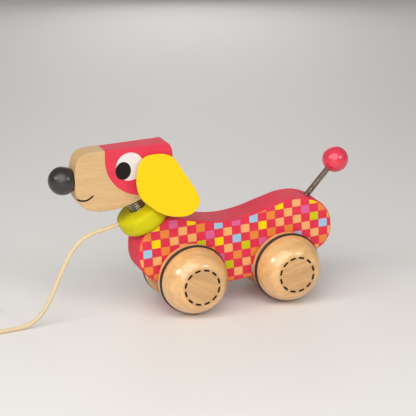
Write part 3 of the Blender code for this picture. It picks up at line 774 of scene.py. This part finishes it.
def cotton_material():
    """Braided cotton: the braid follows how far along and around the cord a point is."""
    tree = Nodes("cotton_cord", 0.9, Sheen_Weight=0.25, Specular_IOR_Level=0.2)
    along, cosine, sine = tree.split(tree.attribute("path", "Vector"))
    angle = tree.math("ARCTAN2", sine, cosine)
    lean = tree.math("MULTIPLY", along, 2 * math.pi / BRAID_PITCH)
    weave = []
    for sign in (1.0, -1.0):
        phase = tree.math("ADD", tree.math("MULTIPLY", angle, BRAID_STRANDS),
                          tree.math("MULTIPLY", lean, sign * BRAID_STRANDS / 2))
        weave.append(tree.math("SINE", phase))
    braid = tree.math("MULTIPLY", weave[0], weave[1])
    fuzz = tree.noise(tree.object_coordinates(), 3800.0, 4.0, 0.7)
    height = tree.math("ADD", tree.math("MULTIPLY", braid, 0.5), tree.math("MULTIPLY", fuzz, 0.6))
    # The colour darkens into the braid's grooves as painted shade; the fuzz adds random tone.
    tree.colour(tree.ramp(tree.math("ADD", tree.math("MULTIPLY", height, 0.6), 0.3),
                          (0.1, (0.50, 0.36, 0.19)), (0.75, (0.86, 0.71, 0.47))))
    tree.bump(height, 0.00025, 0.8)
    return tree.material


# ---- pieces ----
def along_neck(distance):
    return BEAD_CENTRE + NECK_AXIS * distance


def middle_of(node):
    low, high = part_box(node)
    return (Vector(low) + Vector(high)) / 2


def full_curve(angle, radius, height, power):
    """A point of a quarter superellipse, (radius, height); angle runs from 0, its widest."""
    return (radius * math.cos(angle) ** (2 / power), height * math.sin(angle) ** (2 / power))


def ball_profile(radius, below, above, power_below=2.0, power_above=2.0):
    """Half outline of a rounded solid with unequal halves, top to bottom."""
    count = 14
    points = [(0.0, above)]
    for i in range(1, count):
        angle = math.pi / 2 * (1 - i / count)
        points.append(full_curve(angle, radius, above, power_above))
    points.append((radius, 0.0))
    for i in range(1, count):
        outer, low = full_curve(math.pi / 2 * i / count, radius, below, power_below)
        points.append((outer, -low))
    points.append((0.0, -below))
    return points


def rod(name, radius, start, end):
    length = (end - start).length
    return turned(name, [(0.0, length), (radius, length), (radius, 0.0), (0.0, 0.0)], start,
                  (end - start).normalized(), 48)


def check_colour(x, z):
    """The printed colour at a point of the body's side, in millimetres, or None on red."""
    across, up = x - CHECK_ORIGIN[0], z - CHECK_ORIGIN[1]
    column = across * math.cos(CHECK_TILT) + up * math.sin(CHECK_TILT)
    row = across * math.sin(CHECK_TILT) - up * math.cos(CHECK_TILT)
    i, j = round(column / CHECK_PITCH[0]), round(row / CHECK_PITCH[1])
    if (i + j) % 2 or not 0 <= j < len(CHECK_ROWS):
        return None
    colours = CHECK_ROWS[j]
    return PAINTS[colours[min(max((i + 4) // 2, 0), len(colours) - 1)]]


def split_into_checks(mesh):
    """Cut the flat sides along the lines between checks, so that each face has one colour."""
    shape = bmesh.new()
    shape.from_mesh(mesh)
    right = Vector((math.cos(CHECK_TILT), 0.0, math.sin(CHECK_TILT)))
    upward = Vector((-math.sin(CHECK_TILT), 0.0, math.cos(CHECK_TILT)))
    origin = Vector((CHECK_ORIGIN[0], 0.0, CHECK_ORIGIN[1])) * MM
    for direction, pitch, lines in ((right, CHECK_PITCH[0], CHECK_COLUMN_LINES),
                                    (upward, CHECK_PITCH[1], CHECK_ROW_LINES)):
        for k in lines:
            faces = [f for f in shape.faces if abs(f.normal.y) > 0.999]
            edges = list({e for f in faces for e in f.edges})
            verts = list({v for f in faces for v in f.verts})
            bmesh.ops.bisect_plane(shape, geom=verts + edges + faces, dist=1e-8,
                                   plane_co=origin + direction * ((k + 0.5) * pitch * MM),
                                   plane_no=direction)
    layer = shape.loops.layers.float_color.new("print")
    for face in shape.faces:
        colour = None
        if abs(face.normal.y) > 0.999:
            middle = face.calc_center_median()
            colour = check_colour(middle.x / MM, middle.z / MM)
        for loop in face.loops:
            loop[layer] = (*colour, 1.0) if colour else (0.0, 0.0, 0.0, 0.0)
    shape.to_mesh(mesh)
    shape.free()


def make_body():
    low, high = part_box("body")
    body = board("body_board", BODY_OUTLINE, high[1] - low[1])
    seat_profile = ball_profile(BEAD_RADIUS + GAP, BEAD_BELOW + GAP, BEAD_ABOVE + GAP,
                                BEAD_POWER_BELOW, BEAD_POWER_ABOVE)
    seat = turned("seat", seat_profile, BEAD_CENTRE, NECK_AXIS)
    cutters = [seat, rod("tail_bore", TAIL_SOCKET_RADIUS, TAIL_ROOT - TAIL_AXIS * TAIL_BODY_SOCKET,
                         TAIL_ROOT + TAIL_AXIS * TAIL_BODY_SOCKET)]
    for axle in ("axle_front", "axle_rear"):
        centre = middle_of(axle)
        reach = Vector((0.0, high[1] * 2, 0.0))
        cutters.append(rod(axle + "_bore", AXLE_BORE_RADIUS, centre - reach, centre + reach))
    cut_out(body, *cutters)
    split_into_checks(body.data)
    shade(body)
    dress(body, body_material())
    finish_piece(body, "chassis", "red_paint", "body")


def cord_hole_mouth():
    share = 1 - (CORD_HOLE_HEIGHT / BEAD_ABOVE) ** BEAD_POWER_ABOVE
    radial = BEAD_RADIUS * share ** (1 / BEAD_POWER_ABOVE)
    return BEAD_CENTRE + NECK_AXIS * CORD_HOLE_HEIGHT - NECK_BACK * radial


def angle_at(radial, power):
    """The full_curve angle where the bead has this radius."""
    return math.acos((radial / BEAD_RADIUS) ** (power / 2))


def make_neck_bead():
    profile = [(DOWEL_HOLE_RADIUS, BEAD_POCKET_FLOOR), (SPRING_POCKET_RADIUS, BEAD_POCKET_FLOOR)]
    top = angle_at(SPRING_POCKET_RADIUS, BEAD_POWER_ABOVE)
    for i in range(24):
        profile.append(full_curve(top * (1 - i / 24), BEAD_RADIUS, BEAD_ABOVE, BEAD_POWER_ABOVE))
    profile.append((BEAD_RADIUS, 0.0))
    bottom = angle_at(DOWEL_HOLE_RADIUS, BEAD_POWER_BELOW)
    for i in range(1, 25):
        outer, low = full_curve(bottom * i / 24, BEAD_RADIUS, BEAD_BELOW, BEAD_POWER_BELOW)
        profile.append((outer, -low))
    bead = turned("lime_neck_bead", profile, BEAD_CENTRE, NECK_AXIS, 96, True)
    mouth = cord_hole_mouth()
    cut_out(bead, rod("cord_bore", CORD_HOLE_RADIUS, mouth - CORD_AXIS * CORD_HOLE_DEPTH,
                      mouth + CORD_AXIS * CORD_HOLE_DEPTH))
    shade(bead, 40.0, False)
    dress(bead, paint_material("lime_paint", LIME, 0.5, 0.0, 0.18).material)
    finish_piece(bead, "chassis", "lime_paint", "neck_bead")


def coil_spring(name, base, axis, radius, wire, length, turns, share, material, sides=10):
    """One share (start, end) of a helical spring, as fractions of its length."""
    turn = Vector((0.0, 0.0, 1.0)).rotation_difference(axis).to_matrix()
    steps = 32
    first, last = round(share[0] * turns * steps), round(share[1] * turns * steps)
    points = []
    for i in range(first, last + 1):
        angle = 2 * math.pi * i / steps
        climb = length * i / (turns * steps)
        points.append(base + turn @ on_circle(radius, angle, climb))
    spring = tube(name, points, wire, sides)
    dress(spring, material)
    return spring


def make_neck_spring():
    """Two halves of the coil, split at the neck's pivot."""
    steel = steel_material("neck_spring_steel", *NECK_STEEL)
    base, end = along_neck(NECK_SPRING_START + NECK_WIRE), along_neck(NECK_SPRING_END - NECK_WIRE)
    length = (end - base).length
    pivot = (NECK_PIVOT - NECK_SPRING_START - NECK_WIRE) / length
    halves = (("neck_coil_lower", (0.0, pivot), "chassis", "neck", base, along_neck(NECK_PIVOT)),
              ("neck_coil_upper", (pivot, 1.0), "neck", "head", along_neck(NECK_PIVOT), end))
    for name, share, below, above, start, stop in halves:
        half = coil_spring(name, base, NECK_AXIS, NECK_SPRING_RADIUS, NECK_WIRE, length,
                           NECK_SPRING_TURNS, share, steel)
        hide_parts("neck_spring")
        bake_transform(half)


def make_tail_spring():
    """Two halves, as at the neck, with their ends hidden in the body and the tail's bead."""
    steel = steel_material("tail_spring_steel", *TAIL_STEEL)
    mouth = (TAIL_BEAD_CENTRE - TAIL_ROOT).length - TAIL_BEAD_RADIUS
    start = TAIL_WIRE + GAP - TAIL_BODY_SOCKET
    length = mouth + TAIL_BEAD_SOCKET - TAIL_WIRE - GAP - start
    base, middle = TAIL_ROOT + TAIL_AXIS * start, TAIL_ROOT + TAIL_AXIS * (mouth / 2)
    pivot = (mouth / 2 - start) / length
    halves = (("tail_coil_lower", (0.0, pivot), "chassis", "tail_spring", TAIL_ROOT.copy(), middle),
              ("tail_coil_upper", (pivot, 1.0), "tail_spring", "tail_bead", middle,
               TAIL_ROOT + TAIL_AXIS * mouth))
    for name, share, below, above, low, high in halves:
        half = coil_spring(name, base, TAIL_AXIS, TAIL_SPRING_RADIUS, TAIL_WIRE, length,
                           TAIL_SPRING_TURNS, share, steel, 8)
        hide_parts("tail_spring")
        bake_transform(half)


def make_head():
    low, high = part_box("head")
    head = board("head_board", HEAD_OUTLINE, high[1] - low[1], 10, 0.7 * MM)
    pocket = rod("pocket", SPRING_POCKET_RADIUS, along_neck(BEAD_ABOVE),
                 along_neck(HEAD_POCKET_TOP))
    seat_radius = NOSE_RADIUS + GAP
    seat = turned("nose_seat", ball_profile(seat_radius, seat_radius, seat_radius),
                  NOSE_CENTRE, Vector((0, 0, 1)))
    bore = rod("nose_bore", NOSE_BORE_RADIUS, NOSE_CENTRE,
               NOSE_CENTRE + Vector((NOSE_BORE_END, 0.0, 0.0)))
    cut_out(head, pocket, seat, bore)
    shade(head)
    dress(head, head_material())
    finish_piece(head, "head", "head_wood", "head")


def drilled_ball(name, radius, hole_radius, hole_depth, centre, axis):
    """A ball with a blind hole, whose mouth faces against the axis."""
    first = math.asin(hole_radius / radius)
    points = [(0.0, radius)]
    for i in range(1, 40):
        angle = math.pi * i / 40
        if angle < math.pi - first - 0.02:
            points.append((radius * math.sin(angle), radius * math.cos(angle)))
    mouth = -radius * math.cos(first)
    points += [(hole_radius, mouth), (hole_radius, mouth + hole_depth), (0.0, mouth + hole_depth)]
    return turned(name, points, centre, axis, 64, sharp=40.0)


def make_nose():
    nose = drilled_ball("black_nose", NOSE_RADIUS, NOSE_BORE_RADIUS, NOSE_RADIUS, NOSE_CENTRE,
                        Vector((-1, 0, 0)))
    dress(nose, paint_material("black_paint", BLACK, 0.42, 0.6, gloss=0.24).material)
    finish_piece(nose, "head", "black_paint", "nose")


def make_tail_bead():
    bead = drilled_ball("red_tail_bead", TAIL_BEAD_RADIUS, TAIL_SOCKET_RADIUS, TAIL_BEAD_SOCKET,
                        TAIL_BEAD_CENTRE, TAIL_AXIS)
    dress(bead, paint_material("tail_red_paint", RED, 0.26, 0.5).material)
    finish_piece(bead, "tail_bead", "tail_red_paint", "tail_bead")


def make_ear(side_name, side, felt):
    hinge = Vector((0.0, side * EAR_HINGE_SIDE, EAR_HINGE_HEIGHT))
    place = (Matrix.Translation(hinge) @ Matrix.Rotation(side * EAR_FLARE, 4, "X")
             @ Matrix.Translation((0.0, side * EAR_THICKNESS / 2, 0.0)))
    outline = [(x, -down) for x, down in EAR_OUTLINE]
    ear = board("felt_ear_" + side_name, outline, EAR_THICKNESS, 8, 0.5 * MM, place)
    shade(ear, 60.0)
    dress(ear, felt)
    finish_piece(ear, "ear_" + side_name, "yellow_felt", "ear_" + side_name)


def wheel_profile(face):
    """Half outline of a wheel as (radius, distance from the toy's middle plane)."""
    profile = [(0.0, face)]
    for inward, down in WHEEL_FACE_EDGE:
        profile.append((WHEEL_FACE_RADIUS - inward * MM, face - down * MM))
    dome = face - WHEEL_DOME_START
    for i in range(1, 29):
        t = math.cos(math.pi / 2 * i / 28)
        bulge = (1 - t ** WHEEL_DOME_POWER) ** (1 / WHEEL_DOME_POWER)
        if t < 0.985:
            profile.append((WHEEL_FACE_RADIUS + (WHEEL_DOME_RADIUS - WHEEL_FACE_RADIUS) * bulge,
                            WHEEL_DOME_START + dome * t))
    groove = RING_SECTION + GAP
    for degrees in range(55, -56, -10):
        angle = math.radians(degrees)
        profile.append((RING_RADIUS - groove * math.cos(angle), RING_Y + groove * math.sin(angle)))
    profile.append((WHEEL_FLANGE_RADIUS, RING_Y - groove))
    for i in range(7):
        angle = math.pi / 2 * i / 6
        profile.append((WHEEL_FLANGE_RADIUS - WHEEL_FLANGE_ROUNDING * (1 - math.cos(angle)),
                        WHEEL_INNER_FACE + WHEEL_FLANGE_ROUNDING * (1 - math.sin(angle))))
    boss = WHEEL_INNER_FACE - WHEEL_HUB_BOSS
    bore_end = boss + WHEEL_BORE_DEPTH
    profile += [(WHEEL_HUB_BOSS_RADIUS, WHEEL_INNER_FACE), (WHEEL_HUB_BOSS_RADIUS, boss),
                (AXLE_BORE_RADIUS, boss), (AXLE_BORE_RADIUS, bore_end), (0.0, bore_end)]
    return profile


def ring_section():
    """The rubber ring's round section, in the wheel profile's own measures."""
    section = []
    for i in range(16):
        angle = -2 * math.pi * i / 16
        section.append((RING_RADIUS + RING_SECTION * math.cos(angle),
                        RING_Y + RING_SECTION * math.sin(angle)))
    return section


def make_wheels(rubber):
    for end in ("front", "rear"):
        hub = middle_of("axle_" + end)
        beech = wheel_material("varnished_beech_" + end, hub, GRAIN_TURN[end])
        for side_name, side in (("left", -1.0), ("right", 1.0)):
            corner = end + "_" + side_name
            node = "wheel_" + corner
            low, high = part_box(node)
            outward = Vector((0.0, side, 0.0))
            wheel = turned("turned_" + node, wheel_profile(max(abs(low[1]), abs(high[1]))), hub,
                           outward, 128, sharp=38.0)
            dress(wheel, beech)
            finish_piece(wheel, end + "_axle", "varnished_beech", node)
            ring = turned("rubber_ring_" + corner, ring_section(), hub, outward, 128, True)
            dress(ring, rubber)
            finish_piece(ring, end + "_axle", "black_rubber", "ring_" + corner)


def coil_points():
    """The spare cord's turns, two beside each other and two on top, from near to far side."""
    points = []
    per_turn = 24
    for i in range(1, round(COIL_TURNS * per_turn) + 1):
        turn = i / per_turn
        lower = min(int(turn), len(COIL_RADII) - 1)
        upper = min(lower + 1, len(COIL_RADII) - 1)
        moved = min(max((turn - lower - (1 - COIL_SHIFT)) / COIL_SHIFT, 0.0), 1.0)
        blend = moved * moved * (3 - 2 * moved)
        radius = (COIL_RADII[lower] * (1 - blend) + COIL_RADII[upper] * blend) * MM
        height = (COIL_HEIGHTS[lower] * (1 - blend) + COIL_HEIGHTS[upper] * blend) * MM
        angle = -math.pi / 2 - 2 * math.pi * turn
        points.append(COIL_CENTRE + on_circle(radius, angle, height))
    return points


def knot_points(middle):
    """A trefoil across the cord's line, with a short free end, which reads as a tight knot."""
    scale = (KNOT_RADIUS - CORD_RADIUS * KNOT_SQUEEZE) / 3
    points = []
    for i in range(97):
        angle = 2 * math.pi * i / 96
        points.append(middle + scale * Vector((1.5 * math.sin(3 * angle),
                                               math.sin(angle) + 2 * math.sin(2 * angle),
                                               math.cos(angle) - 2 * math.cos(2 * angle))))
    free_end = [points[-1]] + [middle + Vector(offset) * MM for offset in KNOT_FREE_END]
    return points[:-1] + smooth_route(free_end, 0.5 * MM)


def make_cord(cotton, beech):
    mouth = cord_hole_mouth()
    route = [mouth - CORD_AXIS * CORD_START_DEPTH, mouth + CORD_AXIS * CORD_RADIUS * 4]
    route += [Vector(point) * MM for point in CORD_ROUTE]
    route.append(COIL_CENTRE + Vector((0.0, -COIL_RADII[0] * MM, COIL_HEIGHTS[0] * MM)))
    route += coil_points()
    bead = HAND_BEAD_CENTRE
    route += [bead - Vector(offset) * MM for offset in HAND_BEAD_APPROACH]
    route.append(bead + Vector((HAND_BEAD_RADIUS + 0.5 * MM, 0.0, 0.0)))
    points = smooth_route(route, 1.2 * MM)
    cord = tube("cotton_pull_cord", points, CORD_RADIUS, 16)
    dress(cord, cotton)
    finish_piece(cord, "chassis", "cotton_cord", "pull_cord", "cord_coil", "cord_end")

    first = math.asin(CORD_HOLE_RADIUS / HAND_BEAD_RADIUS)
    profile = []
    for i in range(33):
        angle = first + (math.pi - 2 * first) * i / 32
        profile.append((HAND_BEAD_RADIUS * math.sin(angle), HAND_BEAD_RADIUS * math.cos(angle)))
    hand_bead = turned("wooden_hand_bead", profile, bead, Vector((1, 0, 0)), 64, True)
    dress(hand_bead, beech)
    finish_piece(hand_bead, "chassis", "varnished_beech", "cord_bead")

    knot = tube("cord_end_knot", knot_points(middle_of("cord_knot") - KNOT_SHIFT),
                CORD_RADIUS * KNOT_SQUEEZE, 14)
    dress(knot, cotton)
    finish_piece(knot, "chassis", "cotton_cord", "cord_knot")


def dress_hidden_nodes():
    """The dowels and axles keep their own shape. They are bare wood; the neck's is painted shade,
    near black.
    """
    bare = wood_material("bare_wood", *BARE_WOOD, 0.6, 0.0, "Y").material
    gap_shade_wood = wood_material("neck_dowel_gap_shade", *GAP_SHADE_WOOD, 0.7, 0.0, "Z").material
    for node, wood in (("neck_dowel", gap_shade_wood), ("nose_dowel", bare), ("axle_front", bare),
                       ("axle_rear", bare)):
        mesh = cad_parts[node].data
        if not mesh.materials:
            mesh.materials.append(wood)
        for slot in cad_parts[node].material_slots:
            slot.material = wood


def main():
    make_stage()
    make_floor()
    cotton = cotton_material()
    beech = wood_material("hand_bead_beech", *HAND_BEAD_WOOD, 0.3, 0.7).material
    make_cord(cotton, beech)
    make_body()
    make_neck_bead()
    make_neck_spring()
    make_tail_spring()
    make_head()
    make_nose()
    make_tail_bead()
    felt = felt_material()
    make_ear("left", -1, felt)
    make_ear("right", 1, felt)
    make_wheels(rubber_material())
    dress_hidden_nodes()


main()
